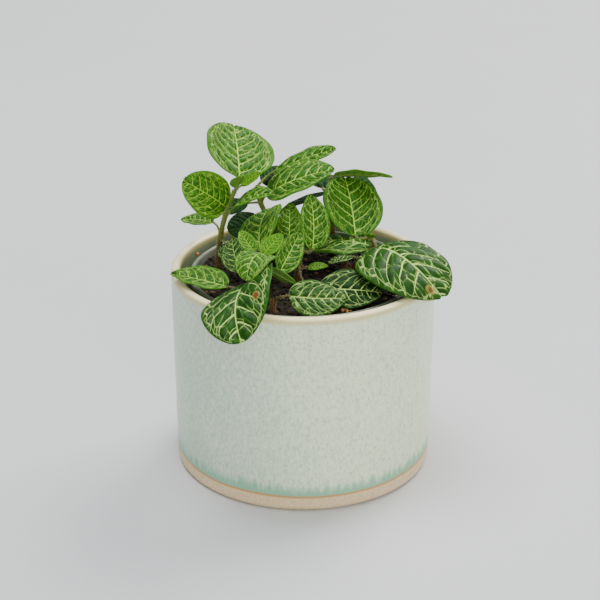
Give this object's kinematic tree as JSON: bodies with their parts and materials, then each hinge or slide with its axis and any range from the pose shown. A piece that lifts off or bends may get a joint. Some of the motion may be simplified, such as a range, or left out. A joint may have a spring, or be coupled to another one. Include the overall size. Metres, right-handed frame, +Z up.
{
  "type": "potted nerve plant",
  "caption": "Small potted foliage plant: net-veined leaves on short leaning stems, in soil inside a thin nursery pot that stands in a straight glazed cover pot.",
  "frame": {"origin": "centre of the cover pot's flat underside", "axes": "+Z up along the pot's axis, -Y towards the side with the hanging leaf, which is the front"},
  "size_m": [0.0889, 0.0969, 0.1072],
  "materials": {
    "stoneware_glaze": "gloss",
    "nursery_plastic": "satin",
    "potting_soil": "matte",
    "stem_green": "matte",
    "leaf_green": "satin"
  },
  "bodies": {
    "root": {"back_leaf_1": "leaf_green", "back_leaf_2": "leaf_green", "back_leaf_3": "leaf_green", "back_leaf_4": "leaf_green", "back_leaf_5": "leaf_green", "back_leaf_6": "leaf_green", "back_left_leaf_1": "leaf_green", "back_left_leaf_2": "leaf_green", "back_left_leaf_3": "leaf_green", "back_left_leaf_4": "leaf_green", "back_left_leaf_5": "leaf_green", "back_left_leaf_6": "leaf_green", "back_left_leaf_7": "leaf_green", "back_right_leaf_1": "leaf_green", "back_right_leaf_2": "leaf_green", "back_right_leaf_3": "leaf_green", "back_right_leaf_4": "leaf_green", "centre_leaf_1": "leaf_green", "centre_leaf_2": "leaf_green", "centre_leaf_3": "leaf_green", "centre_leaf_4": "leaf_green", "cover_pot": "stoneware_glaze", "front_leaf_1": "leaf_green", "front_leaf_2": "leaf_green", "front_leaf_3": "leaf_green", "front_leaf_4": "leaf_green", "front_leaf_5": "leaf_green", "front_leaf_6": "leaf_green", "front_leaf_7": "leaf_green", "front_leaf_8": "leaf_green", "front_leaf_9": "leaf_green", "low_leaf_1": "leaf_green", "low_leaf_2": "leaf_green", "nursery_pot": "nursery_plastic", "potting_soil": "potting_soil", "right_leaf_1": "leaf_green", "right_leaf_2": "leaf_green", "right_leaf_3": "leaf_green", "right_leaf_4": "leaf_green", "right_leaf_5": "leaf_green", "right_leaf_6": "leaf_green", "stem_back": "stem_green", "stem_back_left": "stem_green", "stem_back_right": "stem_green", "stem_centre": "stem_green", "stem_front": "stem_green", "stem_low": "stem_green", "stem_right": "stem_green"}
  },
  "joints": []
}
